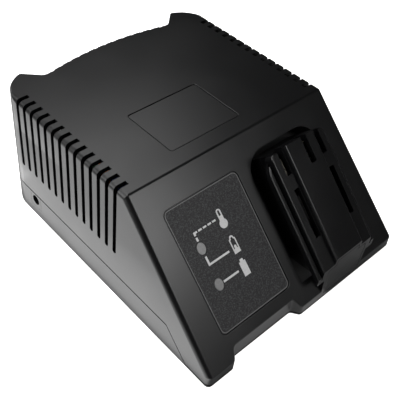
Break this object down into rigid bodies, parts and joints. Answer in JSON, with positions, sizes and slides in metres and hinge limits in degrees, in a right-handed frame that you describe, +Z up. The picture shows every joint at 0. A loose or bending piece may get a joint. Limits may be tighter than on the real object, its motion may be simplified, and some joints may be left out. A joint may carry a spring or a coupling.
{
  "type": "power tool battery charger",
  "caption": "Wedge-shaped desktop charger with a sloping slide-on battery rail, side and rear vent slots, status window panel and DC inlet.",
  "frame": {"origin": "middle of the bounding box at the level of the feet's soles", "axes": "+X to the right seen from the front, +Y from the front rim to the rear wall, +Z up"},
  "size_m": [0.1512, 0.1863, 0.0803],
  "materials": {
    "housing": "moulded black ABS, fine satin texture",
    "dock": "moulded black ABS, smoother satin",
    "carrier": "moulded black nylon",
    "contact": "nickel-plated brass",
    "steel": "zinc-plated",
    "label": "printed polycarbonate film, fine matt",
    "lens": "smoked acrylic",
    "lamp_red": "diffused epoxy",
    "lamp_green": "diffused epoxy",
    "board": "glass-epoxy laminate with solder mask",
    "rubber": "matt",
    "sink": "extruded",
    "package": "moulded epoxy",
    "ferrite": "sintered ferrite",
    "copper": "enamelled copper",
    "can": "printed sleeve on a can",
    "relay_case": "moulded",
    "film_case": "dipped epoxy",
    "resistor": "cement",
    "header": "moulded nylon",
    "fuse_glass": "clear",
    "wire_red": "PVC insulation",
    "wire_black": "PVC insulation",
    "wire_yellow": "PVC insulation",
    "wire_green": "PVC insulation"
  },
  "bodies": {
    "root": {"base_housing": "housing", "battery_dock": "dock", "board_screws": "steel", "case_screws": "steel", "chip_components": "package", "choke_core": "ferrite", "choke_winding": "copper", "circuit_board": "board", "contact_carrier": "carrier", "contact_negative": "contact", "contact_positive": "contact", "contact_sense": "contact", "control_ic": "package", "dock_end_cap": "dock", "dock_screws": "steel", "film_capacitors": "film_case", "fuse": "fuse_glass", "fuse_clips": "contact", "heat_sink": "sink", "inlet_pin": "contact", "inlet_plate": "housing", "inlet_socket": "carrier", "inlet_tabs": "contact", "input_capacitor": "can", "input_header": "header", "input_wire_negative": "wire_black", "input_wire_positive": "wire_red", "lamp_lower": "lamp_green", "lamp_upper": "lamp_red", "lens_lower": "lens", "lens_upper": "lens", "output_capacitors": "can", "output_header": "header", "output_rectifier": "package", "output_wire_negative": "wire_black", "output_wire_positive": "wire_red", "output_wire_sense": "wire_yellow", "package_screws": "steel", "power_resistor": "resistor", "power_transistor": "package", "relay": "relay_case", "rubber_feet": "rubber", "status_board": "board", "status_board_screws": "steel", "status_header": "header", "status_label": "label", "status_wire_common": "wire_black", "status_wire_lower": "wire_green", "status_wire_upper": "wire_red", "top_label": "label", "upper_housing": "housing"}
  },
  "joints": []
}
